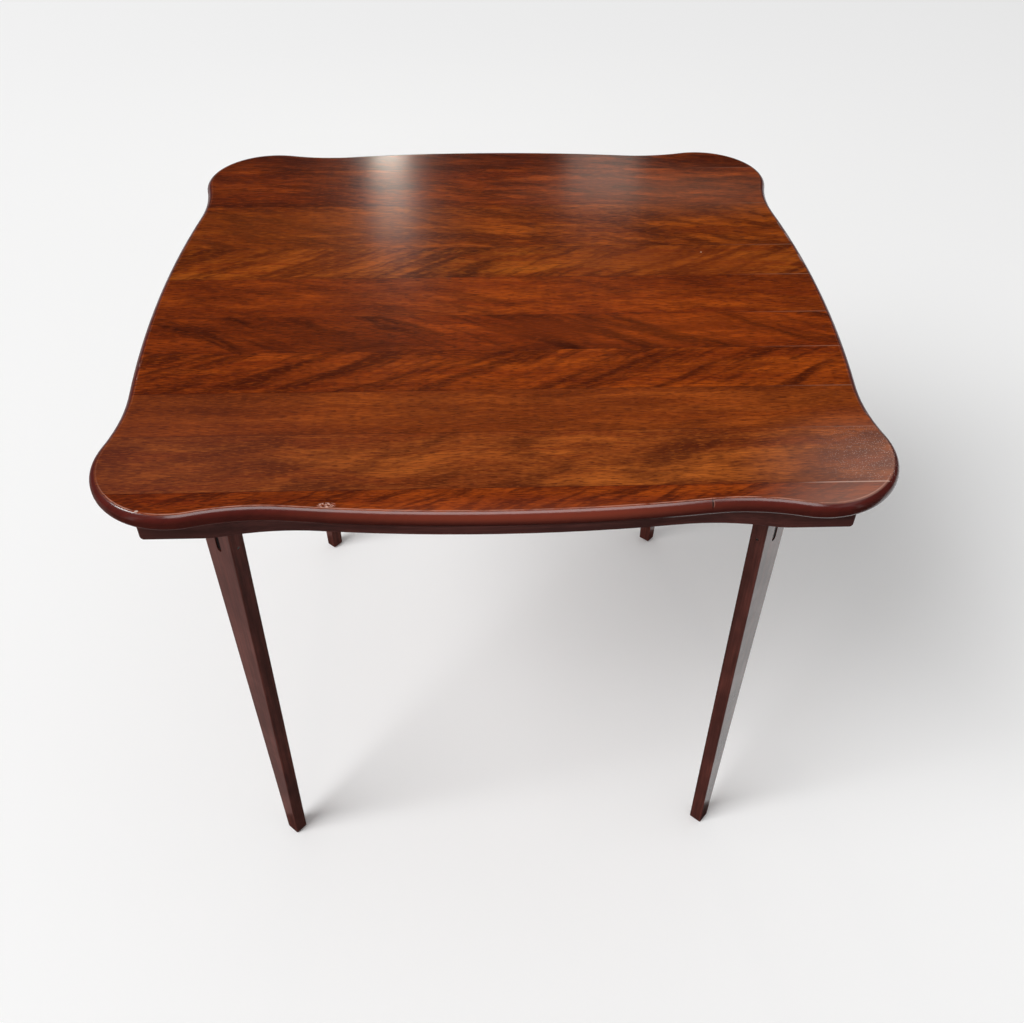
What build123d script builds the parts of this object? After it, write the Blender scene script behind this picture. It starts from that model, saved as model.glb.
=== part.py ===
from build123d import *
import math
import os

# A square folding card table with a scalloped top. Four slim legs stand across the
# corners and fold inward, almost along the diagonals. Millimetres, +Z up, and the
# front of the table faces -Y. The origin is on the floor, under the middle of the top.

# Sizes of the whole table
table_width = 813.0
table_height = 720.0
half_turn = 180.0
quarter_turn = 90.0
overrun = 1.0

# Scalloped outline: a long bow on each side, a hollow waist, and a round lobe
# at each corner, all running into each other without a kink
side_bow_radius = 1785.0
waist_radius = 242.0
lobe_radius = 90.0
lobe_setback = 2.5

# Top: boards glued edge to edge, from the back of the table to the front
top_thickness = 18.0
edge_round = 8.4
board_joint_shares = (0.843, 0.559, 0.265, 0.077, -0.140, -0.322, -0.510, -0.689, -0.902)

# Apron rails. Each has the bow of the top, a hollow beside it and a straight end
rail_height = 28.0
rail_inset = 22.0
rail_hollow_radius = 300.0
rail_crown_radius = 90.0
rail_crown_setback = 24.0
rail_end_setback = 1.5
rail_thickness = 38.5
rail_end_lap = 4.0
rail_corner_round = 4.0
rail_arris = 1.0

# Corner blocks, measured in depth from the inner corner of the rails to the bracket
block_height = 26.0
block_depth = 56.0
block_arris = 1.5

# Legs: flat boards, wide at the top and narrow at the foot
leg_thickness = 18.0
leg_top_width = 54.0
leg_foot_width = 20.0
leg_twist = 3.0
leg_arris = 1.5
foot_chamfer = 1.6
slot_width = 8.0
slot_top_drop = 12.0
slot_bottom_drop = 110.0

# Pivot of each leg, below the underside of the top
pivot_drop = 12.0
pivot_pin_diameter = 6.0
pivot_running_gap = 0.05
pivot_head_diameter = 10.0
pivot_head_height = 1.5
seat_gap = 0.02

# Steel bracket that carries the leg
bracket_plate = 2.0
bracket_half_width = 42.0
bracket_rise = 11.5
bracket_fall = 13.0
bracket_stop_gap = 0.3
ear_gap = 0.3
ear_round = 9.0
ear_root_half_height = 11.0
catch_strip_half_width = 9.0
catch_strip_fall = 34.0
catch_strip_round = 3.0

# Keeper, a hook pressed out of the bracket, which the bolt slides up behind
keeper_width = 6.0
keeper_top_drop = 20.0
keeper_length = 8.5
keeper_stand_off = 7.3
keeper_bend = 1.8
keeper_window_gap = 0.2
keeper_window_length = 11.0

# Cross pin through the slot, and the washers on it
cross_pin_drop = 96.0
cross_pin_diameter = 3.2
cross_pin_proud = 0.3
washer_diameter = 7.0
washer_thickness = 1.3
washer_gap = 0.05

# Lock bolt that slides in the slot on the cross pin
bolt_thickness = 5.0
bolt_travel = 8.0
bolt_outer_gap = 0.8
bolt_inner_reach = 5.5
bolt_shoulder_drop = 36.0
bolt_tongue_depth = 3.8
bolt_tongue_clearance = 0.5
bolt_end_wall = 2.4
bolt_pin_gap = 0.1
bolt_corner_round = 1.0
finger_lug_drop = 52.0
finger_lug_height = 7.0
finger_lug_reach = 12.0
finger_lug_lip = 4.0

# Spring in the window of the bolt, above the cross pin, as it lies with the bolt drawn
spring_wire = 0.5
spring_diameter = 3.0
spring_pressed_length = 13.0
spring_turns = 5
spring_wire_sides = 6
spring_end_gap = 0.4

# Wood screws
screw_gap = 0.1
rail_screw_diameter = 4.0
rail_screw_head = 8.0
rail_screw_head_height = 3.0
rail_screw_sink = 6.0
rail_screw_bite = 11.0
rail_screw_set_in = 12.0
rail_screw_board_width = 80.0
front_rail_screw_shares = (-0.55, 0.55)
block_screw_set_in = 22.0
block_screw_spread = 14.0
block_screw_bite = 10.0
bracket_screw_diameter = 3.5
bracket_screw_head = 7.0
bracket_screw_head_height = 2.2
bracket_screw_length = 18.0
bracket_screw_spread = 36.0
bracket_screw_rise = 5.0

# Heights and reaches that follow from the sizes above
half_width = table_width / 2
top_underside = table_height - top_thickness
pivot_height = top_underside - pivot_drop
half_leg = leg_thickness / 2
plate_face = half_leg + bracket_stop_gap
block_face = plate_face + bracket_plate
ear_inner = leg_top_width / 2 + ear_gap
ear_outer = ear_inner + bracket_plate
lobe_centre = half_width - lobe_setback - lobe_radius
rail_inner_reach = half_width - rail_inset - rail_thickness
front_rail_reach = rail_inner_reach + rail_end_lap
rail_screw_line = rail_inner_reach + rail_screw_set_in
leg_reach_out = rail_inner_reach * math.sqrt(2) - block_depth - block_face

# The four corners, as quarter turns from the rear right one
corner_names = ("rear_right", "rear_left", "front_left", "front_right")


def unit(dx, dy):
    length = math.hypot(dx, dy)
    return dx / length, dy / length


def hollow_centre(bow, hollow, crown, crown_x, crown_y):
    """Centre of the hollow arc that runs into the front bow and into a crown beside it."""
    bow_y = side_bow_radius - half_width
    reach_bow = bow + hollow
    reach_crown = crown + hollow
    gap_y = crown_y - bow_y
    gap = math.hypot(crown_x, gap_y)
    along = (reach_bow ** 2 - reach_crown ** 2 + gap ** 2) / (2 * gap)
    aside = math.sqrt(reach_bow ** 2 - along ** 2)
    ux, uy = unit(crown_x, gap_y)
    return ux * along + uy * aside, bow_y + uy * along - ux * aside


def outline_face(inset):
    """The scalloped outline, moved inward by the inset, as a flat face."""
    bow_y = side_bow_radius - half_width
    waist_x, waist_y = hollow_centre(side_bow_radius, waist_radius, lobe_radius,
                                     lobe_centre, -lobe_centre)
    bow_dx, bow_dy = unit(waist_x, waist_y - bow_y)
    lobe_dx, lobe_dy = unit(waist_x - lobe_centre, waist_y + lobe_centre)
    bow = side_bow_radius - inset
    lobe = lobe_radius - inset
    waist = waist_radius + inset
    bow_end = Vector(bow_dx * bow, bow_y + bow_dy * bow)
    lobe_end = Vector(lobe_centre + lobe_dx * lobe, lobe_dy * lobe - lobe_centre)
    mid_dx, mid_dy = unit(-bow_dx - lobe_dx, -bow_dy - lobe_dy)
    waist_mid = Vector(waist_x + mid_dx * waist, waist_y + mid_dy * waist)
    lobe_shift = lobe / math.sqrt(2)
    lobe_mid = Vector(lobe_centre + lobe_shift, -lobe_centre - lobe_shift)
    bow_mid = Vector(0, inset - half_width)
    bow_start = Vector(-bow_end.X, bow_end.Y)
    # The second half of the corner mirrors the first across the diagonal
    lobe_far = Vector(-lobe_end.Y, -lobe_end.X)
    waist_far_mid = Vector(-waist_mid.Y, -waist_mid.X)
    next_start = Vector(-bow_end.Y, -bow_end.X)
    arcs = [
        ThreePointArc(bow_start, bow_mid, bow_end),
        ThreePointArc(bow_end, waist_mid, lobe_end),
        ThreePointArc(lobe_end, lobe_mid, lobe_far),
        ThreePointArc(lobe_far, waist_far_mid, next_start),
    ]
    edges = [Rot(0, 0, side * quarter_turn) * arc for side in range(4) for arc in arcs]
    return make_face(Wire(edges))


def box_between(low, high):
    """A box given by two opposite corners."""
    size = [high[i] - low[i] for i in range(3)]
    place = Pos(*low)
    return place * Box(*size, align=(Align.MIN, Align.MIN, Align.MIN))


def rod(radius, start, length, axis):
    """A round bar from a start point along +X, +Y or +Z."""
    turns = {"x": Rot(0, quarter_turn, 0), "y": Rot(-quarter_turn, 0, 0), "z": Rot(0, 0, 0)}
    low = (Align.CENTER, Align.CENTER, Align.MIN)
    return Pos(*start) * turns[axis] * Cylinder(radius, length, align=low)


def side_plate(profile, low_y, high_y):
    """A plate whose XZ profile is given as a face on the XZ plane."""
    solid = extrude(profile, amount=high_y - low_y, dir=(0, 1, 0))
    return Pos(0, low_y, 0) * solid


def at_corner(shape, corner):
    """Put a piece made around its pivot at one corner of the table."""
    facing = quarter_turn / 2 + leg_twist + half_turn
    side = leg_reach_out / math.sqrt(2)
    first = Pos(side, side, pivot_height) * Rot(0, 0, facing) * shape
    return Rot(0, 0, corner * quarter_turn) * first


def write(shape, name):
    export_step(shape, f"parts/{name}.step")


# Screws

def screw_up(place, drop, bite, gap):
    """A screw that is driven up into the top, its head sunk in the wood below."""
    x, y = place
    head_z = top_underside - drop
    shank = rod(rail_screw_diameter / 2 + gap, (x, y, head_z), drop + bite + gap, "z")
    if gap:
        opening = rail_screw_sink + overrun
        head = rod(rail_screw_head / 2 + gap, (x, y, head_z - opening), opening, "z")
    else:
        head = rod(rail_screw_head / 2, (x, y, head_z - rail_screw_head_height),
                   rail_screw_head_height, "z")
    return shank + head


def board_limits():
    """Back and front edge of each board, from the back of the table."""
    joints = [share * half_width for share in board_joint_shares]
    backs = [half_width + overrun] + joints
    fronts = joints + [-half_width - overrun]
    return list(zip(backs, fronts))


def rail_screw_places():
    """Both side rails are screwed to the wide boards, and the end rails at two places."""
    places = []
    for back, front in board_limits():
        middle = (back + front) / 2
        if back - front > rail_screw_board_width:
            places += [(-rail_screw_line, middle), (rail_screw_line, middle)]
    for share in front_rail_screw_shares:
        x = share * rail_inner_reach
        places += [(x, -rail_screw_line), (x, rail_screw_line)]
    return places


def block_screw_places():
    places = []
    for corner in range(len(corner_names)):
        for side in (-1, 1):
            x = -block_face - block_screw_set_in
            mark = at_corner(Vertex(x, side * block_screw_spread, 0), corner).center()
            places.append((mark.X, mark.Y))
    return places


def rail_screws(gap):
    drop = rail_height - rail_screw_sink
    return [screw_up(p, drop, rail_screw_bite, gap) for p in rail_screw_places()]


def block_screws(gap):
    drop = block_height - rail_screw_sink
    return [screw_up(p, drop, block_screw_bite, gap) for p in block_screw_places()]


def bracket_screws(corner, gap):
    """Pan head screws through the wings of a bracket into its corner block."""
    screws = []
    length = bracket_screw_length + gap
    for side in (-1, 1):
        for rise in (-bracket_screw_rise, bracket_screw_rise):
            y = side * bracket_screw_spread
            start = (-plate_face - length, y, rise)
            shank = rod(bracket_screw_diameter / 2 + gap, start, length, "x")
            if not gap:
                start = (-plate_face, y, rise)
                radius = bracket_screw_head / 2
                head = rod(radius, start, bracket_screw_head_height, "x")
                rim = head.edges().sort_by(Axis.X)[-1]
                shank += chamfer(rim, bracket_screw_head_height / 2)
            screws.append(at_corner(shank, corner))
    return screws


# Top boards

def top_boards():
    slab = Pos(0, 0, top_underside) * extrude(outline_face(0), amount=top_thickness)
    rims = slab.edges().filter_by(lambda e: e.bounding_box().size.Z < seat_gap)
    slab = fillet(rims, edge_round)
    holes = rail_screws(screw_gap) + block_screws(screw_gap)
    boards = []
    for back, front in board_limits():
        low = (-half_width - overrun, front, top_underside - overrun)
        high = (half_width + overrun, back, table_height + overrun)
        board = slab & box_between(low, high)
        for hole in holes:
            if front < hole.center().Y < back:
                board -= hole
        boards.append(board)
    return boards


# Apron rails

def rail_outline(reach):
    """The front rail seen from above: bow, hollow, crown, straight end, straight back."""
    bow_y = side_bow_radius - half_width
    bow = side_bow_radius - rail_inset
    end_y = rail_inset + rail_end_setback - half_width
    crown_x = lobe_centre - rail_crown_setback
    crown_y = end_y + rail_crown_radius
    hollow_x, hollow_y = hollow_centre(bow, rail_hollow_radius, rail_crown_radius,
                                       crown_x, crown_y)
    bow_dx, bow_dy = unit(hollow_x, hollow_y - bow_y)
    crown_dx, crown_dy = unit(hollow_x - crown_x, hollow_y - crown_y)
    mid_dx, mid_dy = unit(-bow_dx - crown_dx, -bow_dy - crown_dy)
    top_dx, top_dy = unit(crown_dx, crown_dy - 1)
    bow_end = Vector(bow_dx * bow, bow_y + bow_dy * bow)
    hollow_mid = Vector(hollow_x + mid_dx * rail_hollow_radius,
                        hollow_y + mid_dy * rail_hollow_radius)
    crown_start = Vector(crown_x + crown_dx * rail_crown_radius,
                         crown_y + crown_dy * rail_crown_radius)
    crown_mid = Vector(crown_x + top_dx * rail_crown_radius,
                       crown_y + top_dy * rail_crown_radius)
    crown_end = Vector(crown_x, end_y)
    half = [
        ThreePointArc(bow_end, hollow_mid, crown_start),
        ThreePointArc(crown_start, crown_mid, crown_end),
        Line(crown_end, (reach, end_y)),
        Line((reach, end_y), (reach, -rail_inner_reach)),
    ]
    bow_arc = ThreePointArc((-bow_end.X, bow_end.Y), (0, rail_inset - half_width), bow_end)
    back = Line((reach, -rail_inner_reach), (-reach, -rail_inner_reach))
    other_half = [edge.mirror(Plane.YZ) for edge in half]
    return make_face(Wire([bow_arc, back] + half + other_half))


def rail(reach):
    """The front rail, with its lower corners rounded."""
    low_z = top_underside - rail_height
    body = Pos(0, 0, low_z) * extrude(rail_outline(reach), amount=rail_height)
    low_edges = body.edges().group_by(Axis.Z)[0]
    ends = low_edges.filter_by(Axis.Y)
    body = fillet(ends, rail_corner_round)
    low_face = body.faces().sort_by(Axis.Z)[0]
    long_edges = low_face.edges().filter_by(Axis.Y, reverse=True)
    return chamfer(long_edges, rail_arris)


def apron_rails():
    holes = rail_screws(screw_gap)
    turns = {"front_rail": 0, "right_rail": 1, "back_rail": 2, "left_rail": 3}
    rails = {}
    for name, turn in turns.items():
        crosses = turn % 2
        reach = rail_inner_reach if crosses else front_rail_reach
        body = Rot(0, 0, turn * quarter_turn) * rail(reach)
        frame = body.bounding_box()
        for hole in holes:
            middle = hole.center()
            if frame.min.X < middle.X < frame.max.X and frame.min.Y < middle.Y < frame.max.Y:
                body -= hole
        rails[name] = body
    return rails


# Corner blocks

def corner_block():
    """The rear right block. It fills the corner between two rails."""
    facing = math.radians(quarter_turn / 2 + leg_twist)
    nx, ny = math.cos(facing), math.sin(facing)
    side = leg_reach_out / math.sqrt(2)
    reach = side * nx + side * ny + block_face
    inner = rail_inner_reach
    on_right = Vector(inner, (reach - inner * nx) / ny)
    on_back = Vector((reach - inner * ny) / nx, inner)
    corner = Vector(inner, inner)
    base = make_face(Polyline(on_right, corner, on_back, close=True))
    block = Pos(0, 0, top_underside - block_height) * extrude(base, amount=block_height)
    low_face = block.faces().sort_by(Axis.Z)[0]
    block = chamfer(low_face.edges(), block_arris)
    for hole in block_screws(screw_gap)[:2] + bracket_screws(0, screw_gap):
        block -= hole
    return block


# Pieces made around the leg's pivot: X points inward, the way the leg folds,
# Y runs along the pivot and Z is up

def leg():
    foot = -pivot_height
    top_half = leg_top_width / 2
    foot_half = leg_foot_width / 2
    front = Polyline((0, -top_half, half_leg), (0, top_half, half_leg),
                     (0, foot_half, foot), (0, -foot_half, foot), close=True)
    body = Pos(-half_leg, 0, 0) * extrude(make_face(front), amount=leg_thickness, dir=(1, 0, 0))
    top_edges = body.edges().group_by(Axis.Z)[-1].filter_by(Axis.Y)
    body = fillet(top_edges, half_leg - seat_gap)
    foot_face = body.faces().sort_by(Axis.Z)[0]
    body = chamfer(foot_face.edges(), foot_chamfer)
    long_edges = [e for e in body.edges() if e.bounding_box().size.Z > pivot_height / 2]
    body = fillet(long_edges, leg_arris)
    slot_length = slot_bottom_drop - slot_top_drop
    slot_middle = -(slot_bottom_drop + slot_top_drop) / 2
    slot = Plane.YZ * SlotOverall(slot_length, slot_width, rotation=quarter_turn)
    cut = extrude(slot, amount=leg_thickness / 2 + overrun, both=True)
    body -= Pos(0, 0, slot_middle) * cut
    pivot_hole = rod(pivot_pin_diameter / 2 + pivot_running_gap,
                     (0, -leg_top_width, 0), 2 * leg_top_width, "y")
    pin_hole = rod(cross_pin_diameter / 2 + seat_gap,
                   (0, -leg_top_width, -cross_pin_drop), 2 * leg_top_width, "y")
    return body - pivot_hole - pin_hole


def leg_bracket():
    # Back plate with two wings, and the strip that carries the keeper
    plate = box_between((-block_face, -bracket_half_width, -bracket_fall),
                        (-plate_face, bracket_half_width, bracket_rise))
    corners = plate.edges().filter_by(Axis.X)
    plate = fillet(corners, catch_strip_round)
    strip = box_between((-block_face, -catch_strip_half_width, -catch_strip_fall),
                        (-plate_face, catch_strip_half_width, 0))
    low_corners = strip.edges().filter_by(Axis.X).group_by(Axis.Z)[0]
    strip = fillet(low_corners, catch_strip_round)
    body = plate + strip
    # Two ears with round ends about the pivot
    profile = Polyline((-plate_face, 0, -ear_root_half_height), (0, 0, -ear_round),
                       (0, 0, ear_round), (-plate_face, 0, ear_root_half_height), close=True)
    for side in (-1, 1):
        low = ear_inner if side > 0 else -ear_outer
        ear = side_plate(make_face(profile), low, low + bracket_plate)
        ear += rod(ear_round, (0, low, 0), bracket_plate, "y")
        body += ear
    body -= rod(pivot_pin_diameter / 2 + seat_gap, (0, -bracket_half_width, 0),
                2 * bracket_half_width, "y")
    # Keeper, and the window that it was pressed from
    half = keeper_width / 2
    window_half = half + keeper_window_gap
    under = -keeper_top_drop - bracket_plate
    body -= box_between((-block_face - overrun, -window_half, under - keeper_window_length),
                        (-plate_face + overrun, window_half, under))
    tip_x = keeper_stand_off - plate_face
    arm = box_between((-plate_face - bracket_plate / 2, -half, under),
                      (tip_x, half, -keeper_top_drop))
    hook = box_between((tip_x - bracket_plate, -half, -keeper_top_drop - keeper_length),
                       (tip_x, half, -keeper_top_drop))
    keeper = arm + hook
    bend = keeper.edges().filter_by(Axis.Y).group_by(Axis.Z)[-1].sort_by(Axis.X)[-1]
    body += fillet(bend, keeper_bend)
    for side in (-1, 1):
        for rise in (-bracket_screw_rise, bracket_screw_rise):
            start = (-block_face - overrun, side * bracket_screw_spread, rise)
            radius = bracket_screw_diameter / 2 + screw_gap
            body -= rod(radius, start, bracket_plate + 2 * overrun, "x")
    return body


def pivot_pin():
    """A rivet through the ears, with a head on both sides."""
    radius = pivot_pin_diameter / 2
    pin = rod(radius, (0, -ear_outer, 0), 2 * ear_outer, "y")
    for start in (ear_outer, -ear_outer - pivot_head_height):
        pin += rod(pivot_head_diameter / 2, (0, start, 0), pivot_head_height, "y")
    rings = pin.edges().filter_by(GeomType.CIRCLE).group_by(Axis.Y)
    return chamfer(rings[0] + rings[-1], pivot_head_height / 2)


def leg_width_at(drop):
    """Width of the leg at a distance below its pivot."""
    share = (drop + half_leg) / (pivot_height + half_leg)
    return leg_top_width + (leg_foot_width - leg_top_width) * share


def cross_pin():
    length = leg_width_at(cross_pin_drop) + 2 * cross_pin_proud
    pin = rod(cross_pin_diameter / 2, (0, -length / 2, -cross_pin_drop), length, "y")
    return chamfer(pin.edges().filter_by(GeomType.CIRCLE), cross_pin_proud)


def pin_washers():
    washers = []
    near = bolt_thickness / 2 + washer_gap
    for start in (near, -near - washer_thickness):
        ring = rod(washer_diameter / 2, (0, start, -cross_pin_drop), washer_thickness, "y")
        hole = rod(cross_pin_diameter / 2 + washer_gap, (0, start - overrun, -cross_pin_drop),
                   washer_thickness + 2 * overrun, "y")
        washers.append(ring - hole)
    return washers


def lock_bolt():
    """The sliding bolt, drawn down by its full travel, so that the leg is free."""
    outer = bolt_outer_gap - half_leg
    inner = bolt_inner_reach
    tongue_inner = outer + bolt_tongue_depth
    tongue_top = -keeper_top_drop - bracket_plate - bolt_tongue_clearance
    slide_half = cross_pin_diameter / 2 + bolt_pin_gap
    low = -cross_pin_drop - slide_half - bolt_end_wall
    lug_low = -finger_lug_drop - finger_lug_height / 2
    lug_high = lug_low + finger_lug_height
    lip_top = lug_high + finger_lug_lip
    lug_tip = outer - finger_lug_reach
    lip_inner = lug_tip + bolt_end_wall
    outline = Polyline(
        (inner, 0, low), (outer, 0, low), (outer, 0, lug_low), (lug_tip, 0, lug_low),
        (lug_tip, 0, lip_top), (lip_inner, 0, lip_top), (lip_inner, 0, lug_high),
        (outer, 0, lug_high), (outer, 0, tongue_top), (tongue_inner, 0, tongue_top),
        (tongue_inner, 0, -bolt_shoulder_drop), (inner, 0, -bolt_shoulder_drop), close=True)
    half = bolt_thickness / 2
    body = side_plate(make_face(outline), -half, half)
    body = fillet(body.edges().filter_by(Axis.Y), bolt_corner_round)
    slide_low = -cross_pin_drop - slide_half
    slide_high = bolt_travel + spring_pressed_length + spring_end_gap - cross_pin_drop
    slide_high += cross_pin_diameter / 2
    window = box_between((-slide_half, -bolt_thickness, slide_low + slide_half),
                         (slide_half, bolt_thickness, slide_high))
    window += rod(slide_half, (0, -bolt_thickness, -cross_pin_drop), 2 * bolt_thickness, "y")
    return Pos(0, 0, -bolt_travel) * (body - window)


def bolt_spring():
    """A coil between the cross pin and the top of the bolt's window, made of half turns."""
    start = cross_pin_diameter / 2 - cross_pin_drop + spring_wire / 2 + spring_end_gap / 2
    radius = (spring_diameter - spring_wire) / 2
    half_turns = 2 * spring_turns
    step = (spring_pressed_length - spring_wire) / half_turns
    arcs = []
    for number in range(half_turns):
        side = 1 if number % 2 == 0 else -1
        low = start + number * step
        arcs.append(ThreePointArc((side * radius, 0, low), (0, side * radius, low + step / 2),
                                  (-side * radius, 0, low + step)))
    path = Wire(arcs)
    end = Plane(path @ 0, z_dir=path % 0) * RegularPolygon(spring_wire / 2, spring_wire_sides)
    return sweep(end, path=path)


def main():
    os.makedirs("parts", exist_ok=True)
    for number, board in enumerate(top_boards(), start=1):
        write(board, f"top_board_{number}")
    for name, body in apron_rails().items():
        write(body, name)
    made = {
        "leg": leg(),
        "leg_bracket": leg_bracket(),
        "pivot_pin": pivot_pin(),
        "cross_pin": cross_pin(),
        "lock_bolt": lock_bolt(),
        "bolt_spring": bolt_spring(),
    }
    block = corner_block()
    washers = pin_washers()
    for corner, place in enumerate(corner_names):
        write(Rot(0, 0, corner * quarter_turn) * block, f"corner_block_{place}")
        for piece, shape in made.items():
            write(at_corner(shape, corner), f"{piece}_{place}")
        turned = [at_corner(washer, corner) for washer in washers]
        write(Compound(turned), f"pin_washers_{place}")
    fixings = [screw for corner in range(4) for screw in bracket_screws(corner, 0)]
    write(Compound(fixings), "bracket_screws")
    write(Compound(rail_screws(0)), "rail_screws")
    write(Compound(block_screws(0)), "block_screws")


main()
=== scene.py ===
# %% [markdown]
# # A folding card table in red-brown wood
# The table has a scalloped square top made of ten boards, an apron under it, and four
# slim legs that stand across the corners and fold inward.
# The CAD model gives every piece its place, its shape and its true size, in metres. This
# lesson keeps those pieces as they are. It gives each one the finish of the real thing,
# adds the marks that years of use have left, and sets up the light, the floor and the
# camera.

# %% Load the CAD frame
import bpy
import bmesh
import math
from collections import namedtuple
from mathutils import Matrix, Vector


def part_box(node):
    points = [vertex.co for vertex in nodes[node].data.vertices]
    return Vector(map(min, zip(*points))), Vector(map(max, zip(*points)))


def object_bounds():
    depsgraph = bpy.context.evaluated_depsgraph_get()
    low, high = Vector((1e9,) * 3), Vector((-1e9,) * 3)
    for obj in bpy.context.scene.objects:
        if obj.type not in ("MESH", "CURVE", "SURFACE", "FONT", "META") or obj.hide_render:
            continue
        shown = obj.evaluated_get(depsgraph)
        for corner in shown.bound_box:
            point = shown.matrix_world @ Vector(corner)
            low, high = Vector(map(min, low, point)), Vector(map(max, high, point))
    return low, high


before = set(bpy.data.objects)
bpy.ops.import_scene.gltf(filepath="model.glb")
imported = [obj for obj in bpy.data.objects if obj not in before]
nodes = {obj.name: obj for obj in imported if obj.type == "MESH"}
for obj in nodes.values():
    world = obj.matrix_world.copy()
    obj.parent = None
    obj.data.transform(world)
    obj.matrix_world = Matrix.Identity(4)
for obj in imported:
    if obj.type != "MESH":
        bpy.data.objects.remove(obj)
cad_low, cad_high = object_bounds()
print("CAD nodes:", len(nodes), "size in mm:", [round(1000 * s) for s in cad_high - cad_low])

# %% [markdown]
# ## Small helpers
# Colours are easiest to pick as the hex values of a paint chart, but Blender reckons in
# linear light, so one function turns the one into the other.
# A shader is a set of nodes joined by links. One more function fills the sockets of a node:
# a socket is linked when its value is another node, or one of its outputs, and otherwise it
# is set. A third one adds a node of any kind and fills it. Nodes could also be joined by
# hand in the editor, but these few lines keep each finish short enough to read.

# %% Colour and node helpers
def linear(code):
    """The linear colour of an sRGB hex value such as #9a4c21."""
    parts = [int(code[i:i + 2], 16) / 255 for i in (1, 3, 5)]
    return tuple(c / 12.92 if c <= 0.04045 else ((c + 0.055) / 1.055) ** 2.4 for c in parts) + (1.0,)


def fill(tree, node, sockets):
    """Sets or links the sockets of a node. A hex value becomes a linear colour."""
    for name, value in sockets.items():
        if isinstance(value, str):
            value = linear(value)
        if isinstance(value, bpy.types.Node):
            value = value.outputs[0]
        if isinstance(value, bpy.types.NodeSocket):
            tree.links.new(value, node.inputs[name])
        else:
            node.inputs[name].default_value = value


def add(tree, kind, sockets=None, **options):
    """Adds a node, sets its options, and fills its sockets."""
    node = tree.nodes.new(kind)
    for name, value in options.items():
        setattr(node, name, value)
    fill(tree, node, sockets or {})
    return node


def new_finish(name):
    """An empty material with its shader joined up, and its Object coordinates."""
    finish = bpy.data.materials.new(name)
    finish.use_nodes = True
    tree = finish.node_tree
    tree.nodes.clear()
    shader = add(tree, "ShaderNodeBsdfPrincipled")
    add(tree, "ShaderNodeOutputMaterial", {"Surface": shader})
    place = add(tree, "ShaderNodeTexCoord").outputs["Object"]
    return finish, tree, shader, place


print("chestnut in linear light:", [round(c, 3) for c in linear("#8a431c")])

# %% [markdown]
# ## Wood grain from stretched noise
# Grain is noise that is long one way and narrow the other. A photograph of wood would
# repeat from board to board and would have to be bent round the edge, while noise runs
# through the whole thickness, as grain does.
# A Mapping node of the Texture kind turns its point first and divides by its scale after,
# so its scale is simply the real length and width of one streak in metres, and its turn is
# the slant of the figure. A Map Range after it makes clear streaks with plain wood between.
# A finish is built as the maker builds it, in coats: each coat has the share of the
# surface that it covers, how strong it is there, and its colour.

# %% Streaks and coats
# A Map Range with these settings gives 1 at its low end and 0 at its high end
falling = {"To Min": 1.0, "To Max": 0.0}


def streaks(tree, place, size, slant=0.0, shift=(0.0, 0.0, 0.0), detail=2.0, low=0.4, high=0.6):
    """Noise in streaks of a length, width and thickness in metres, from 0 at low to 1 at high."""
    spot = add(tree, "ShaderNodeMapping", {
        "Vector": place, "Location": shift, "Rotation": (0.0, 0.0, math.radians(slant)),
        "Scale": size}, vector_type="TEXTURE")
    noise = add(tree, "ShaderNodeTexNoise", {
        "Vector": spot, "Scale": 1.0, "Detail": detail, "Roughness": 0.6})
    return add(tree, "ShaderNodeMapRange", {
        "Value": noise, "From Min": low, "From Max": high}, interpolation_type="SMOOTHSTEP")


def coated(tree, colour, coats):
    """Lays coats on a colour. Each is a share of the surface, a strength and a colour."""
    for share, strength, coat in coats:
        cover = add(tree, "ShaderNodeMath", {0: share, 1: strength}, operation="MULTIPLY")
        # A Mix node set to colour takes the colours in sockets 6 and 7 and gives one in 2
        mix = add(tree, "ShaderNodeMix", {0: cover, 6: colour, 7: coat}, data_type="RGBA")
        colour = mix.outputs[2]
    return colour


print("a falling Map Range runs from", falling["To Min"], "to", falling["To Max"])

# %% [markdown]
# ## The top: boards of red-brown mahogany
# Each board came from a different plank, so each gets its own colours, its own figure and
# its own place in the noise. All share one recipe, so the recipe is a function and the
# boards are rows of a table further down. The wood has these patterns on each other:
# - ribbon: stripes 16 mm wide and a forearm long, where the grain interlocks,
# - cloud: broad patches of darker wood,
# - figure: dark flames that cross a board at a slant, 50 to 200 mm long,
# - grain, pores and flecks: fine dark and pale dashes along the grain. Real pores are
#   0.2 mm wide, which is too fine to show from here, so they are drawn 1.2 mm wide.

# %% The wood of one board
# Length, width and thickness of a streak, in metres
ribbon_size = (0.30, 0.016, 0.03)
cloud_size = (0.16, 0.05, 0.06)
grain_size = (0.035, 0.0022, 0.006)
pore_size = (0.012, 0.0012, 0.003)
fleck_size = (0.010, 0.0014, 0.003)
figure_thickness = 0.05
cloud_slant = 8.0
sway_waves, sway_reach = 8.0, 0.03
# Where the painted shade on the left end is full and where it is gone, in X
painted_shade_left, painted_shade_right = -0.42, 0.12

Board = namedtuple("Board", "light middle dark flame slant length width strength coarse")


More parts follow.
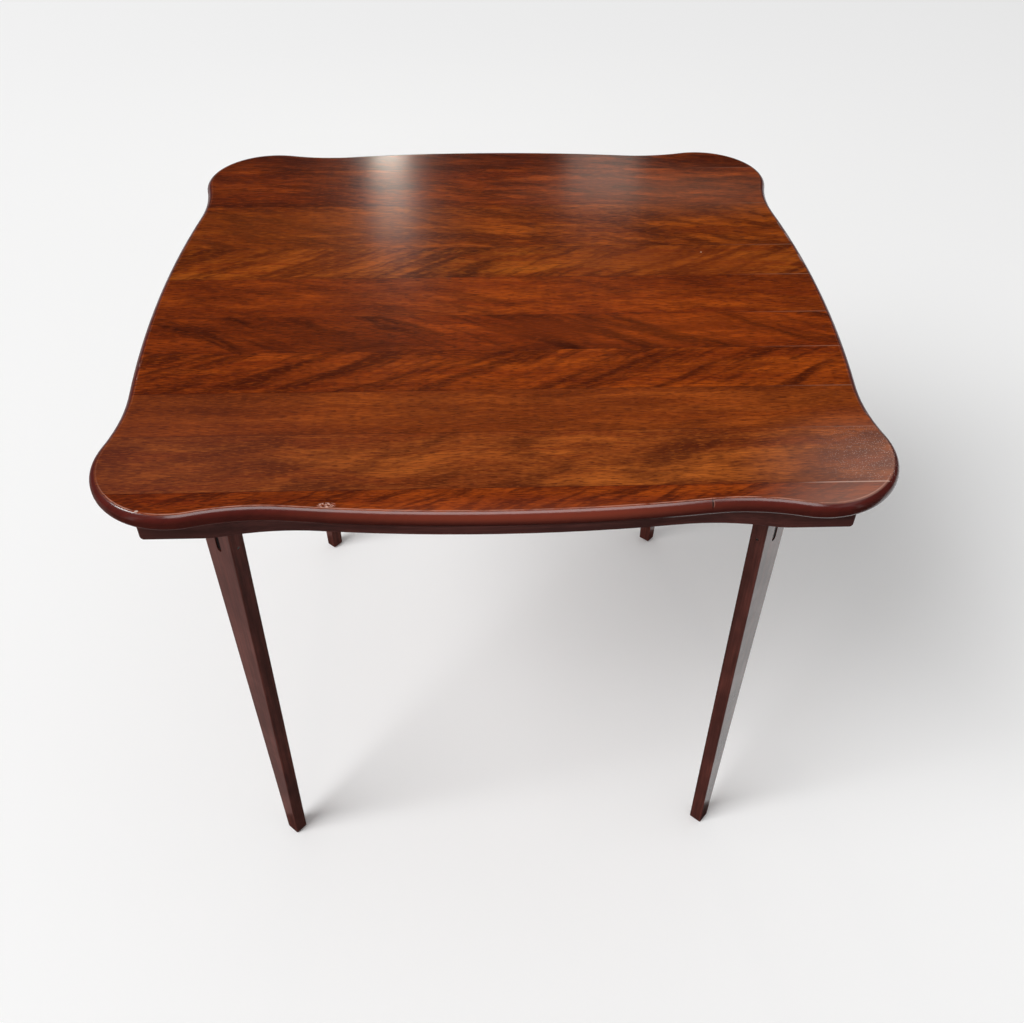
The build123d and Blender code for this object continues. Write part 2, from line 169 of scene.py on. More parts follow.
def mahogany(tree, place, x, board, seed):
    """The colour of a board's wood, and its figure, grain and pores."""
    def coarser(size):
        length, width, thickness = size
        return length * board.coarse, width * board.coarse, thickness

    # A slow wobble, so that no streak is quite straight
    sway = add(tree, "ShaderNodeTexNoise", {"Vector": place, "Scale": sway_waves, "Detail": 2.0})
    push = add(tree, "ShaderNodeVectorMath", {
        0: sway.outputs["Color"], 1: (0.5, 0.5, 0.5)}, operation="SUBTRACT")
    bent = add(tree, "ShaderNodeVectorMath", {
        0: push, 1: (sway_reach, sway_reach, sway_reach), 2: place}, operation="MULTIPLY_ADD")
    figure_size = (board.length, board.width, figure_thickness)
    ribbon = streaks(tree, bent, ribbon_size, shift=(seed, 0.3 * seed, 0),
                     detail=5.0, low=0.36, high=0.64)
    cloud = streaks(tree, bent, cloud_size, cloud_slant, shift=(0.7 * seed, seed, 0),
                    detail=4.0, low=0.40, high=0.66)
    figure = streaks(tree, bent, figure_size, board.slant, shift=(0.2 * seed, 0.5 * seed, 0),
                     detail=6.0, low=0.41, high=0.64)
    grain = streaks(tree, bent, coarser(grain_size), shift=(seed, 0, 0),
                    detail=3.0, low=0.40, high=0.62)
    pores = streaks(tree, place, coarser(pore_size), shift=(0, seed, 0),
                    detail=1.0, low=0.52, high=0.61)
    flecks = streaks(tree, place, coarser(fleck_size), shift=(seed, 2 * seed, 0),
                     detail=1.0, low=0.54, high=0.64)
    # Painted shade: the wood is made darker towards the left end, away from the right window's sheen
    painted_shade = add(tree, "ShaderNodeMapRange", {
        "Value": x, "From Min": painted_shade_left, "From Max": painted_shade_right, **falling},
        interpolation_type="SMOOTHSTEP")
    colour = coated(tree, board.middle, [
        (ribbon, 1.0, board.light), (cloud, 0.6, board.dark), (painted_shade, 0.3, board.dark),
        (figure, board.strength, board.flame), (grain, 0.42, board.dark),
        (pores, 0.6, board.flame), (flecks, 0.3, board.light)])
    return colour, figure, grain, pores


print("a pore is drawn", round(1000 * pore_size[1], 1), "mm wide")

# %% [markdown]
# ## Glued joints and the rounded edge
# A joint between two boards is a hair line, darker than the wood. Near the right end the
# line is painted pale, as a glint of light. The stain sits darker on the rounded edge, where
# end grain drinks it, and its lower half, which faces down, is painted darker still, as shade.
# Along the arris a thin pale line is painted as a highlight, broken here and there and
# strongest at the front. The underside got one thin coat.
# A painted mask could mark these places, but each is a stretch of one coordinate: the joint
# along Y, the others in height. So each is a Map Range, which needs no painting and follows
# the scallops by itself.

# %% Joints, edge and underside
top_z = cad_high.z
# How far in from a board's front and back its joint line is full, and where it is gone
front_line_full, front_line_gone = 0.0003, 0.0013
back_line_full, back_line_gone = 0.0002, 0.0008
# Where the painted glint on the joints begins and where it is full, in X
painted_glint_from, painted_glint_to = 0.29, 0.39
# Where the painted highlight on the arris is full, where it fades, and its share elsewhere, in Y
arris_highlight_from, arris_highlight_to, arris_highlight_elsewhere = -0.385, -0.345, 0.12
edge_patch_size = (0.03, 0.03, 0.03)
# Depths below the top between which each zone fades in, going down
zone_depths = {
    "side": (0.00012, 0.0005), "painted_shade_below": (0.0018, 0.0065), "underside": (0.0165, 0.0177),
    "curved": (0.000005, 0.00002)}
arris_from, arris_to = 0.00008, 0.00014


def joint_share(tree, y, back, front):
    """The hair lines at the back and the front of a board."""
    at_front = add(tree, "ShaderNodeMapRange", {
        "Value": y, "From Min": front + front_line_full, "From Max": front + front_line_gone,
        **falling})
    at_back = add(tree, "ShaderNodeMapRange", {
        "Value": y, "From Min": back - back_line_gone, "From Max": back - back_line_full})
    return add(tree, "ShaderNodeMath", {0: at_front, 1: at_back}, operation="MAXIMUM")


def edge_coats(tree, place, x, y, z, joint, figure, seed):
    """The coats on the joints, the edge and the underside, with their painted glint, shade and
    highlight, and the zones by height.
    """
    zones = {}
    for name, (shallow, deep) in zone_depths.items():
        zones[name] = add(tree, "ShaderNodeMapRange", {
            "Value": z, "From Min": top_z - deep, "From Max": top_z - shallow, **falling})
    # Near the right end the dark joint line is painted pale, as a glint
    painted_glint = add(tree, "ShaderNodeMapRange", {
        "Value": x, "From Min": painted_glint_from, "From Max": painted_glint_to})
    joint_line_and_glint = coated(tree, "#3c1208", [(painted_glint, 1.0, "#b08068")])
    edge = add(tree, "ShaderNodeMath", {
        0: zones["side"], 1: zones["underside"]}, operation="SUBTRACT", use_clamp=True)
    # A thin pale line along the arris is painted as a highlight, broken and strongest at the front
    arris = add(tree, "ShaderNodeMapRange", {
        "Value": z, "From Min": top_z - arris_to, "From Max": top_z - arris_from})
    line = add(tree, "ShaderNodeMath", {0: arris, 1: zones["curved"]}, operation="MULTIPLY")
    broken = streaks(tree, place, edge_patch_size, shift=(seed, 0, 0), detail=3.0, low=0.3, high=0.55)
    front_edge = add(tree, "ShaderNodeMapRange", {
        "Value": y, "From Min": arris_highlight_from, "From Max": arris_highlight_to,
        "To Min": 1.0, "To Max": arris_highlight_elsewhere})
    arris_highlight_patches = add(tree, "ShaderNodeMath", {0: broken, 1: front_edge}, operation="MULTIPLY")
    painted_arris_highlight = add(tree, "ShaderNodeMath", {0: line, 1: arris_highlight_patches}, operation="MULTIPLY")
    # The lower half of the rounded edge faces down and is painted darker, as shade
    stain = coated(tree, "#521a17", [
        (figure, 0.5, "#3f1511"), (broken, 0.3, "#52201c"), (zones["painted_shade_below"], 0.85, "#34110d")])
    coats = [
        (joint, 0.45, joint_line_and_glint), (edge, 0.95, stain), (painted_arris_highlight, 0.7, "#c98f79"),
        (zones["underside"], 0.45, "#6a4028")]
    return coats, zones


print("the rubbed line is", round(1000 * arris_to, 2), "mm high")

# %% [markdown]
# ## Marks of use, painted sheen and painted highlights
# An old top has been knocked. A mark is an egg-shaped spot, given by its centre and its
# reach along X, Y and Z, and one function makes every kind. Some marks are painted sheen and
# highlights, not wear:
# - tone and sheen: lighter or darker wood, or a painted sheen or highlight, with a soft edge,
# - fleck and glint, crack and glint: a small spot with a firm edge, long and thin for a line.
#   Most are flecks and cracks; one spot and one line are painted highlights,
# - scratches: short slanting lines within the spot,
# - dust: specks, clearest in the middle.

# %% One mark
Mark = namedtuple("Mark", "boards kind centre reach strength colour")
# Where a mark begins to fade, as a share of its reach
soft_from, firm_from = 0.0, 0.6
scratch_size = (0.004, 0.0016, 0.0016)
scratch_slant = -35.0
# Cells 1.7 mm wide, each with a speck 0.7 mm across, because a finer one would not show
dust_cells = 600.0
speck_full, speck_gone = 0.15, 0.25


def mark_share(tree, place, mark):
    """The share of the surface that a mark covers. Its centre is given as X, Y and depth."""
    x, y, depth = mark.centre
    spot = add(tree, "ShaderNodeMapping", {
        "Vector": place, "Location": (x, y, top_z - depth), "Scale": mark.reach},
        vector_type="TEXTURE")
    far = add(tree, "ShaderNodeVectorMath", {0: spot}, operation="LENGTH").outputs["Value"]
    fade_from = soft_from if mark.kind in ("tone_and_sheen", "dust") else firm_from
    share = add(tree, "ShaderNodeMapRange", {
        "Value": far, "From Min": fade_from, "From Max": 1.0, **falling},
        interpolation_type="SMOOTHSTEP")
    if mark.kind == "scratches":
        parts = streaks(tree, place, scratch_size, scratch_slant, detail=4.0, low=0.47, high=0.56)
    elif mark.kind == "dust":
        cell = add(tree, "ShaderNodeTexVoronoi", {"Vector": place, "Scale": dust_cells})
        parts = add(tree, "ShaderNodeMapRange", {
            "Value": cell, "From Min": speck_full, "From Max": speck_gone, **falling})
    else:
        return share
    return add(tree, "ShaderNodeMath", {0: share, 1: parts}, operation="MULTIPLY")


print("dust cells in mm:", round(1000 / dust_cells, 1))

# %% [markdown]
# ## Lacquer over stain
# The lacquer is clear and glossy. Mixing its shine into the wood's own would make the wood
# look like plastic, so it is the shader's clear coat, and the wood under it is nearly matt.
# It bridges the pores, so the bump under it is only a faint ripple, and hardly any on the
# rounded edge. The underside is duller.

# %% The finish of one board
def board_finish(number, board, back, front, seed, marks):
    finish, tree, shader, place = new_finish(f"Gloss lacquered mahogany, board {number}")
    x, y, z = add(tree, "ShaderNodeSeparateXYZ", {"Vector": place}).outputs
    colour, figure, grain, pores = mahogany(tree, place, x, board, seed)
    joint = joint_share(tree, y, back, front)
    coats, zones = edge_coats(tree, place, x, y, z, joint, figure, seed)
    coats += [(mark_share(tree, place, mark), mark.strength, mark.colour) for mark in marks]
    relief = add(tree, "ShaderNodeMath", {0: grain, 1: pores}, operation="ADD")
    ripple = add(tree, "ShaderNodeMapRange", {"Value": zones["curved"], "To Min": 0.16, "To Max": 0.03})
    dull = add(tree, "ShaderNodeMapRange", {"Value": zones["underside"], "To Min": 0.36, "To Max": 0.6})
    bump = add(tree, "ShaderNodeBump", {"Height": relief, "Strength": ripple, "Distance": 0.0003})
    fill(tree, shader, {
        "Base Color": coated(tree, colour, coats), "Roughness": dull, "Specular IOR Level": 0.05,
        "Coat Weight": 0.7, "Coat Roughness": 0.17, "Normal": bump})
    return finish


print("top surface at", round(1000 * top_z), "mm")

# %% [markdown]
# The table of boards, from the back of the top to the front: four colours, then the slant
# of the figure in degrees, its length and width in metres, its strength, and how coarse the
# grain is. The slants and lengths were read off the photograph, board by board. The boards
# at the back have the coarser grain, which also lets it show from further off. Where a
# board ends is taken from its CAD node.

# %% The ten boards
boards = [
    Board("#8e3a08", "#612103", "#430f01", "#2a0500", -14, 0.100, 0.014, 0.75, 1.4),
    Board("#a8480a", "#782a04", "#501501", "#330a00", -10, 0.090, 0.014, 0.75, 1.4),
    Board("#ac510b", "#843504", "#561a02", "#380c00", -18, 0.080, 0.015, 0.70, 1.35),
    Board("#bb6112", "#8f3b04", "#5e1f01", "#380c00", 34, 0.110, 0.015, 0.95, 1.3),
    Board("#ab4a06", "#883204", "#5a1d02", "#3f0f00", -15, 0.100, 0.016, 0.55, 1.2),
    Board("#a84505", "#843003", "#561a01", "#2e0900", -28, 0.190, 0.022, 0.95, 1.15),
    Board("#b04d06", "#8a3403", "#591a01", "#360b00", 30, 0.170, 0.019, 0.85, 1.1),
    Board("#a84e12", "#8b3a09", "#602504", "#461703", 6, 0.090, 0.014, 0.40, 1.0),
    Board("#b45c1c", "#8c3c0f", "#5c2206", "#441604", 14, 0.080, 0.028, 0.70, 1.0),
    Board("#a84706", "#7f2b03", "#561801", "#3a0c00", 26, 0.055, 0.008, 0.80, 1.0),
]
longest = max(boards, key=lambda board: board.length)
print("longest figure in mm:", round(1000 * longest.length), "on board", boards.index(longest) + 1)

# %% [markdown]
# The marks, each with the boards that it lies on: a painted sheen under the right window's
# glare, lighter and darker stretches of wood, and a fleck of paint. Towards the front, the
# right corner has a painted grey sheen and dust, a pale line painted along the last joint is
# a glint, and the left corner is tinted purplish-red as a painted reflection. The front edge
# is painted paler in the middle, as a broad highlight. It has a scraped spot and a small white
# spot on the left, which is a painted highlight, and a crack over it on the right.

# %% The marks on the boards
skin = 0.0008
last_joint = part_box("top_board_10")[1].y
marks = [
    # Painted sheen: the right window's glare lies as a pale haze on the back boards
    Mark((1, 2, 3), "tone_and_sheen", (0.260, 0.270, 0.0), (0.300, 0.110, skin), 0.16, "#b89078"),
    Mark((3,), "tone_and_sheen", (-0.250, 0.165, 0.0), (0.26, 0.08, skin), 0.16, "#a85410"),
    Mark((4,), "tone_and_sheen", (0.240, 0.070, 0.0), (0.30, 0.075, skin), 0.50, "#883709"),
    Mark((4,), "tone_and_sheen", (-0.240, 0.070, 0.0), (0.26, 0.08, skin), 0.22, "#a84606"),
    Mark((4,), "fleck_and_glint", (0.2729, 0.0892, 0.0), (0.0012, 0.0012, 0.002), 0.9, "#d8c4ac"),
    Mark((6,), "tone_and_sheen", (-0.24, -0.094, 0.0), (0.26, 0.06, skin), 0.30, "#3a1002"),
    Mark((6,), "tone_and_sheen", (0.22, -0.094, 0.0), (0.24, 0.06, skin), 0.28, "#9c4308"),
    Mark((6,), "tone_and_sheen", (0.055, -0.085, 0.0), (0.11, 0.05, skin), 0.46, "#853204"),
    Mark((6,), "tone_and_sheen", (-0.150, -0.120, 0.0), (0.10, 0.024, skin), 0.50, "#360e02"),
    Mark((6,), "tone_and_sheen", (0.080, -0.126, 0.0), (0.16, 0.018, skin), 0.40, "#360e02"),
    # Painted sheen: a pale grey veil on the right corner
    Mark((8, 9, 10), "tone_and_sheen", (0.395, -0.350, 0.0), (0.175, 0.115, skin), 0.40, "#a48074"),
    # Painted highlight: a pale glint along the last joint near the right end
    Mark((9, 10), "crack_and_glint", (0.365, last_joint, 0.0), (0.080, 0.0010, skin), 0.60, "#d8b4a4"),
    # Painted reflection: a purplish-red tint on the left corner
    Mark((8, 9), "tone_and_sheen", (-0.370, -0.320, 0.0), (0.320, 0.170, skin), 0.26, "#72382e"),
    Mark((9,), "dust", (0.385, -0.330, 0.0), (0.085, 0.085, 0.02), 0.7, "#dccfc6"),
    # Painted sheen: more of the grey veil on the right corner of the front board
    Mark((10,), "tone_and_sheen", (0.335, -0.397, 0.0), (0.120, 0.050, skin), 0.45, "#9c7668"),
    # Painted highlight: the middle of the rounded front edge is paler, where light from above falls
    Mark((10,), "tone_and_sheen", (0.03, -0.401, 0.004), (0.33, 0.030, 0.0085), 0.42, "#9a4630"),
    Mark((10,), "scratches", (-0.164, -0.3875, 0.0), (0.0100, 0.0042, 0.003), 0.9, "#dcb09f"),
    # Painted highlight: a small white spot on the arris of the left corner
    Mark((10,), "fleck_and_glint", (-0.341, -0.3915, 0.0), (0.0022, 0.0016, 0.002), 0.9, "#cbb3a6"),
    Mark((10,), "crack_and_glint", (0.2030, -0.3930, 0.002), (0.0019, 0.0055, 0.0048), 0.35, "#a87a6a"),
    Mark((10,), "crack_and_glint", (0.2026, -0.3930, 0.002), (0.0010, 0.0075, 0.0065), 0.95, "#140605"),
]
print("marks:", len(marks), "on boards", sorted({number for mark in marks for number in mark.boards}))

# %% [markdown]
# Every board is now finished by the one recipe, with its own row, the marks that lie on it
# and its own seed, which is its place in the noise.

# %% Finish the ten boards
finishes = {}
seed_step = 0.37
for number, board in enumerate(boards, start=1):
    low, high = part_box(f"top_board_{number}")
    here = [mark for mark in marks if number in mark.boards]
    finishes[f"top_board_{number}"] = board_finish(
        number, board, high.y, low.y, seed_step * number, here)
    print("board", number, "is", round(1000 * (high.y - low.y)), "mm from front to back")

# %% [markdown]
# ## Apron and legs: the same wood under a dark red stain
# The apron and the legs are plainer wood, stained dark red-brown and rubbed to a satin
# sheen. Their grain runs along the piece: along X for the front and back rails, along Y
# for the side rails and along Z for the legs. The noise is the same, only its longest side
# is laid another way, so one recipe makes all three. The legs were polished more, and
# their coat is stronger. Here too the grain is drawn 1.2 mm wide, so that it shows.

# %% Stained rails and legs
stripe_length, stripe_width = 0.28, 0.008
line_length, line_width = 0.05, 0.0012
stain_patch_size = (0.09, 0.09, 0.09)
duller_by = 0.12


def laid_along(axis, length, width):
    """The size of a streak that is long on one axis and narrow on the other two."""
    return tuple(length if name == axis else width for name in "XYZ")


def stained_finish(name, axis, light, middle, dark, gloss, coat):
    finish, tree, shader, place = new_finish(name)
    stripe = laid_along(axis, stripe_length, stripe_width)
    line = laid_along(axis, line_length, line_width)
    ribbon = streaks(tree, place, stripe, shift=(0.1, 0.2, 0.3), detail=3.0, low=0.35, high=0.65)
    grain = streaks(tree, place, line, detail=2.0, low=0.35, high=0.7)
    patches = streaks(tree, place, stain_patch_size, shift=(0.5, 0.0, 0.0),
                      detail=3.0, low=0.35, high=0.7)
    colour = coated(tree, middle, [(ribbon, 1.0, light), (patches, 0.45, dark), (grain, 0.5, dark)])
    rough = add(tree, "ShaderNodeMapRange", {
        "Value": patches, "To Min": gloss, "To Max": gloss + duller_by})
    bump = add(tree, "ShaderNodeBump", {"Height": grain, "Strength": 0.12, "Distance": 0.0003})
    fill(tree, shader, {
        "Base Color": colour, "Roughness": rough, "Specular IOR Level": 0.2,
        "Coat Weight": coat, "Coat Roughness": 0.18, "Normal": bump})
    return finish


corners = ("rear_right", "rear_left", "front_left", "front_right")
for axis, sides in {"X": ("front", "back"), "Y": ("left", "right")}.items():
    rail = stained_finish(f"Satin stained rail, grain along {axis}", axis,
                          "#5c302a", "#4a2520", "#2f1512", gloss=0.40, coat=0.2)
    for side in sides:
        finishes[f"{side}_rail"] = rail
leg = stained_finish("Satin stained leg, grain along Z", "Z",
                     "#66352d", "#4f2821", "#2e1310", gloss=0.38, coat=0.9)
for corner in corners:
    finishes[f"leg_{corner}"] = leg
print("stained pieces:", len(finishes) - len(boards))

# %% [markdown]
# ## Corner blocks: plain sawn wood
# The blocks are out of sight, so the maker left them bare. Sawn wood is pale and matt, with
# the fine cross lines of the saw about 2 mm apart. The lines are a Wave texture that only
# feeds the bump, because the saw leaves them in relief and not in colour. The grain is
# drawn 1.6 mm wide, so that it shows.

# %% Bare sawn wood
saw_waves = 210.0
sawn_grain_size, sawn_grain_slant = (0.09, 0.0016, 0.0016), 45.0
sawn_patch_size = (0.03, 0.03, 0.03)


def sawn_finish():
    finish, tree, shader, place = new_finish("Bare sawn poplar")
    grain = streaks(tree, place, sawn_grain_size, sawn_grain_slant, detail=3.0, low=0.3, high=0.7)
    patches = streaks(tree, place, sawn_patch_size, shift=(0.2, 0.0, 0.0),
                      detail=3.0, low=0.3, high=0.7)
    saw = add(tree, "ShaderNodeTexWave", {
        "Vector": place, "Scale": saw_waves, "Distortion": 1.5, "Detail": 2.0},
        wave_type="BANDS", bands_direction="DIAGONAL")
    bump = add(tree, "ShaderNodeBump", {
        "Height": saw.outputs["Fac"], "Strength": 0.25, "Distance": 0.0002})
    fill(tree, shader, {
        "Base Color": coated(tree, "#b08a5e", [(grain, 1.0, "#8f6b45"), (patches, 0.4, "#7a5636")]),
        "Roughness": 0.8, "Normal": bump})
    return finish


sawn = sawn_finish()
for corner in corners:
    finishes[f"corner_block_{corner}"] = sawn
# Diagonal bands turn by 10 radians times the scale for each metre of X plus Y plus Z
print("saw marks on a level face in mm:", round(1000 * 2 * math.pi / (10 * math.sqrt(2) * saw_waves), 1))

# %% [markdown]
# ## Steel: zinc plate, bright wire and black oxide
# Zinc plate is a pale grey metal with a faint cloudy sheen. Bright drawn steel, for pins and
# springs, is smoother and keeps fine lines from the die. Both are metals, so their colour
# is their reflection and the default IOR stays. The bolts were blackened in hot oil: that
# is a thin black skin on the steel, nearly matt, so it is not made a metal.
# The real lines follow the wire and are hundredths of a millimetre wide. Here they stand
# upright, because pins and springs that point many ways share one material, and they are
# drawn 0.6 mm wide, so that they show in a close view.

# %% Three steels
drawn_line_size, drawn_line_slant = (0.0006, 0.0006, 0.012), 20.0


def steel_finish(name, light, dark, smooth, rough, cloud, metallic=1.0):
    finish, tree, shader, place = new_finish(name)
    clouds = streaks(tree, place, (cloud, cloud, cloud), detail=4.0, low=0.35, high=0.65)
    lines = streaks(tree, place, drawn_line_size, drawn_line_slant, detail=2.0, low=0.3, high=0.7)
    gloss = add(tree, "ShaderNodeMapRange", {"Value": lines, "To Min": smooth, "To Max": rough})
    bump = add(tree, "ShaderNodeBump", {"Height": lines, "Strength": 0.1, "Distance": 0.0001})
    fill(tree, shader, {
        "Base Color": coated(tree, light, [(clouds, 1.0, dark)]), "Metallic": metallic,
        "Roughness": gloss, "Normal": bump})
    return finish


zinc = steel_finish("Zinc plated steel", "#bcbdb8", "#a3a39d", smooth=0.28, rough=0.42, cloud=0.006)
bright = steel_finish("Bright drawn steel", "#cfcfcd", "#b9b9b6", smooth=0.18, rough=0.3, cloud=0.01)
black = steel_finish("Oil blackened steel", "#0c0c0d", "#060607",
                     smooth=0.6, rough=0.75, cloud=0.008, metallic=0.0)
finishes["bracket_screws"] = finishes["rail_screws"] = finishes["block_screws"] = zinc
for corner in corners:
    finishes[f"leg_bracket_{corner}"] = zinc
    finishes[f"lock_bolt_{corner}"] = black
    for piece in ("pivot_pin", "cross_pin", "pin_washers", "bolt_spring"):
        finishes[f"{piece}_{corner}"] = bright
print("nodes with a finish:", len(finishes), "of", len(nodes))

# %% [markdown]
# ## Put the finishes on
# Each CAD node already has a material slot, and only the material in it changes. The CAD
# meshes are loose triangles with true normals, so curved faces look round as they are.

# %% Dress the nodes and count their triangles
for node, piece in nodes.items():
    for holder in piece.material_slots:
        holder.material = finishes[node]
print("triangles in the CAD nodes:", sum(len(piece.data.polygons) for piece in nodes.values()))

# %% [markdown]
# ## Floor
# The table stands on a plain pale floor that runs on past the picture, a shade darker
# towards the back. It is matt and mirrors nothing. From below it lets the camera through,
# so that the table can be seen from there too.

# %% Floor
def flat_sheet(name, width, depth, matrix):
    """A flat rectangle, made in place."""
    mesh = bpy.data.meshes.new(name)
    sheet = bmesh.new()
    bmesh.ops.create_grid(sheet, x_segments=1, y_segments=1, size=0.5)
    placed = matrix @ Matrix.Diagonal((width, depth, 1, 1))
    bmesh.ops.transform(sheet, matrix=placed, verts=sheet.verts)
    sheet.to_mesh(mesh)
    sheet.free()
    piece = bpy.data.objects.new(name, mesh)
    bpy.context.scene.collection.objects.link(piece)
    return piece


floor_size = 60.0
floor_drop = 0.0005
front_of_fade, back_of_fade = -0.5, 1.6
floor = flat_sheet("floor", floor_size, floor_size, Matrix.Translation((0, 0, -floor_drop)))
finish, tree, shader, place = new_finish("Pale matt floor")
y = add(tree, "ShaderNodeSeparateXYZ", {"Vector": place}).outputs["Y"]
far = add(tree, "ShaderNodeMapRange", {
    "Value": y, "From Min": front_of_fade, "From Max": back_of_fade},
    interpolation_type="SMOOTHSTEP")
fill(tree, shader, {
    "Base Color": coated(tree, "#fafafa", [(far, 1.0, "#f5f5f5")]), "Roughness": 0.9,
    "Specular IOR Level": 0.0})
side = add(tree, "ShaderNodeNewGeometry")
clear = add(tree, "ShaderNodeBsdfTransparent")
both = add(tree, "ShaderNodeMixShader", {0: side.outputs["Backfacing"], 1: shader, 2: clear})
fill(tree, tree.nodes["Material Output"], {"Surface": both})
floor.data.materials.append(finish)
print("floor size in m:", tuple(round(s) for s in floor.dimensions[:2]))

# %% [markdown]
# ## Lamps
# A big soft lamp on the left and a little in front lights the wood and throws the shadow
# to the right. The lacquer doesn't see it, because it would lay a grey veil on the top.
# What the lacquer shows comes from smaller lamps, each put where one highlight of the
# photograph asks for it. Far behind the table stand two windows, and the lacquer shows them
# as streaks of glare. The left window is bright below and dim above, where a blind hangs.
# Two more lamps light no wood and only show in the lacquer: a panel overhead draws the soft
# bright line along the rounded front edge, and a skylight on the left draws the short sharp
# one round the left corner.

# %% Lamps
def soft_lamp(name, place, aim, size, power, tint="#ffffff"):
    """A rectangular lamp that faces its aim. Size is its width and height in metres."""
    data = bpy.data.lights.new(name, "AREA")
    data.shape = "RECTANGLE"
    data.size, data.size_y = size
    data.energy = power
    data.color = linear(tint)[:3]
    lamp = bpy.data.objects.new(name, data)
    lamp.location = place
    lamp.rotation_mode = "QUATERNION"
    lamp.rotation_quaternion = (Vector(aim) - Vector(place)).to_track_quat("-Z", "Y")
    bpy.context.scene.collection.objects.link(lamp)
    return lamp


daylight = "#fff2e2"
left_glare, right_glare = (-0.14, 0.33, 0.72), (0.16, 0.3, 0.72)
left_corner = (-0.37, -0.38, 0.71)
below_panel = (-0.05, -0.48, 0.7)
key = soft_lamp("key_left", (-18.6, -11.2, 21.2), (0, 0, 0.3), size=(17.0, 17.0), power=7200)
skylight = soft_lamp("skylight_left", (-3.0, 0.9, 4.5), left_corner, size=(0.9, 0.9), power=65)
soft_lamp("window_left", (-0.33, 2.5, 1.535), left_glare, size=(0.09, 0.12), power=0.95, tint=daylight)
soft_lamp("blind_left", (-0.33, 2.5, 1.74), left_glare, size=(0.14, 0.38), power=0.46, tint=daylight)
soft_lamp("window_right", (0.45, 2.5, 1.64), right_glare, size=(0.26, 0.26), power=0.35, tint=daylight)
panel = soft_lamp("panel_overhead", (-0.05, -0.48, 2.7), below_panel, size=(1.7, 1.3), power=42)
key.visible_glossy = False
for lamp in (skylight, panel):
    lamp.visible_diffuse = lamp.visible_camera = False

# %% [markdown]
# ## What the lacquer mirrors
# The photographed room was dim round the table, and the lacquer shows that as deep colour.
# A dark world would also darken the floor, so dark cards that only reflections see stand
# round the table instead: one far behind it, one behind the camera, one overhead and one
# on either side. Three more lie on the floor: in front, under the table and on the left.
# The last is rosy, for the left-hand faces of the legs. The floor on the right stays pale,
# and the right-hand faces of the legs shine with it.

# %% Cards that only reflections see
def dull_cloth(name, code):
    finish, tree, shader = new_finish(name)[:3]
    fill(tree, shader, {"Base Color": code, "Roughness": 1.0, "Specular IOR Level": 0.0})
    return finish


def hang_card(name, cloth, width, depth, place, turn=Matrix.Identity(4)):
    card = flat_sheet(name, width, depth, Matrix.Translation(place) @ turn)
    card.data.materials.append(cloth)
    card.visible_camera = card.visible_diffuse = False
    card.visible_shadow = card.visible_transmission = False
    print(name, "size in m:", round(width, 2), round(depth, 2))


dark = dull_cloth("Dull dark cloth", "#2a2624")
rosy = dull_cloth("Dull rosy cloth", "#8e7470")
upright = Matrix.Rotation(math.pi / 2, 4, "X")
sideways = Matrix.Rotation(math.pi / 2, 4, "Y")
hang_card("dark_card_behind", dark, 11.6, 8.0, (-2.2, 4.0, 5.0), upright)
hang_card("dark_card_ahead", dark, 12.0, 6.0, (0.0, -5.0, 3.0), upright)
hang_card("dark_card_above", dark, 9.0, 9.0, (-1.5, -0.5, 6.0))
hang_card("dark_card_wall_right", dark, 6.0, 9.0, (5.0, 1.0, 3.2), sideways)
hang_card("dark_card_wall_left", dark, 6.0, 9.0, (-5.5, 1.0, 3.2), sideways)

# %% [markdown]
# The cards on the floor meet along lines just in front of the front feet and beside the
# left ones, so that no strip of pale floor shows between them.

# %% Cards on the floor
card_lift = 0.002
front_line, left_line, right_line, back_line = -0.36, -0.33, 0.33, 0.42
for name, cloth, left, right, front, back in (
        ("dark_card_floor", dark, -6.0, 6.0, -4.98, front_line),
        ("dark_card_under", dark, left_line, right_line, front_line, back_line),
        ("rosy_card_left", rosy, -5.93, left_line, front_line, 4.22)):
    middle = ((left + right) / 2, (front + back) / 2, card_lift)
    hang_card(name, cloth, right - left, back - front, middle)

# %% [markdown]
# ## World
# The world fills the shadows with even light. What the camera sees past the floor, and
# what mirrors see past the cards, is a separate plain pale grey, so the light and the
# backdrop can be set apart.

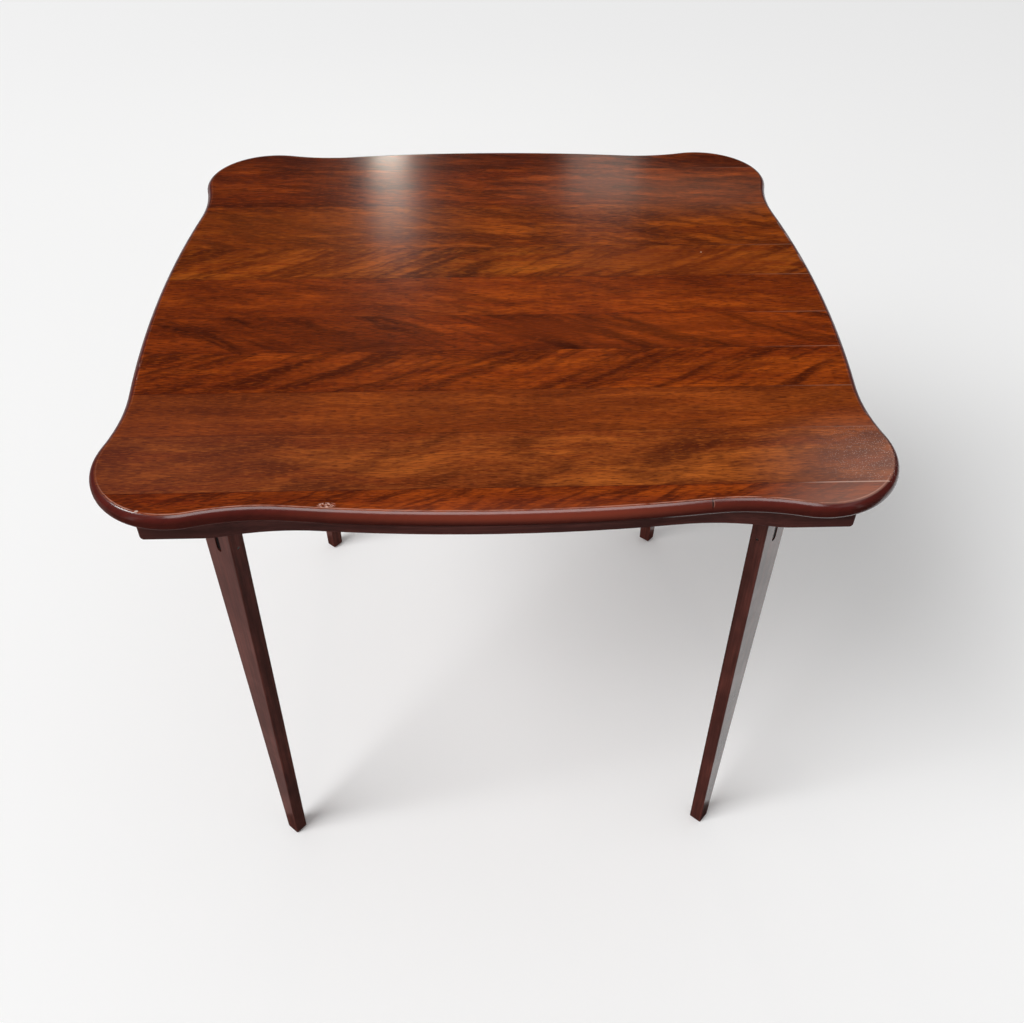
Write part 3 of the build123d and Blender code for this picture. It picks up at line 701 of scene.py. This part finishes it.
# %% World
fill_strength, backdrop_strength = 0.48, 1.0
world = bpy.data.worlds.new("Pale studio")
bpy.context.scene.world = world
world.use_nodes = True
tree = world.node_tree
tree.nodes.clear()
path = add(tree, "ShaderNodeLightPath").outputs
seen = add(tree, "ShaderNodeMath", {
    0: path["Is Camera Ray"], 1: path["Is Glossy Ray"]}, operation="MAXIMUM")
seen = add(tree, "ShaderNodeMath", {0: seen, 1: path["Is Transmission Ray"]}, operation="MAXIMUM")
shadow_fill = add(tree, "ShaderNodeBackground", {"Color": "#ffffff", "Strength": fill_strength})
backdrop = add(tree, "ShaderNodeBackground", {"Color": "#ececec", "Strength": backdrop_strength})
sky = add(tree, "ShaderNodeMixShader", {0: seen, 1: shadow_fill, 2: backdrop})
add(tree, "ShaderNodeOutputWorld", {"Surface": sky})
bpy.context.scene.view_settings.view_transform = "Standard"
print("world:", world.name, "with", len(tree.nodes), "nodes and a fill of", fill_strength)

# %% [markdown]
# ## Camera
# The camera was fitted to the outline of the top in the photograph: it stands 1.1 m in
# front of the table's middle, 1.37 m above the floor, and looks down 42.7 degrees. It is
# turned by a matrix and not by angles, because its own three directions are easy to work
# out: straight ahead, level to the right, and down. The last two are rolled a little.

# %% Camera
image_width = 1024
focal_pixels = 1020.7
camera_place = (-0.0178, -1.1044, 1.3703)
pitch, roll, yaw = math.radians(42.726), math.radians(-0.549), math.radians(-2.314)
data = bpy.data.cameras.new("camera")
data.sensor_width = 36.0
data.lens = focal_pixels * data.sensor_width / image_width
camera = bpy.data.objects.new("camera", data)
ahead = Vector((-math.sin(yaw) * math.cos(pitch), math.cos(yaw) * math.cos(pitch), -math.sin(pitch)))
level = Vector((math.cos(yaw), math.sin(yaw), 0))
down = ahead.cross(level)
right = math.cos(roll) * level + math.sin(roll) * down
lower = -math.sin(roll) * level + math.cos(roll) * down
turn = Matrix((right, -lower, -ahead)).transposed().to_4x4()
camera.matrix_world = Matrix.Translation(camera_place) @ turn
bpy.context.scene.collection.objects.link(camera)
bpy.context.scene.camera = camera
print("lens in mm:", round(data.lens, 2))
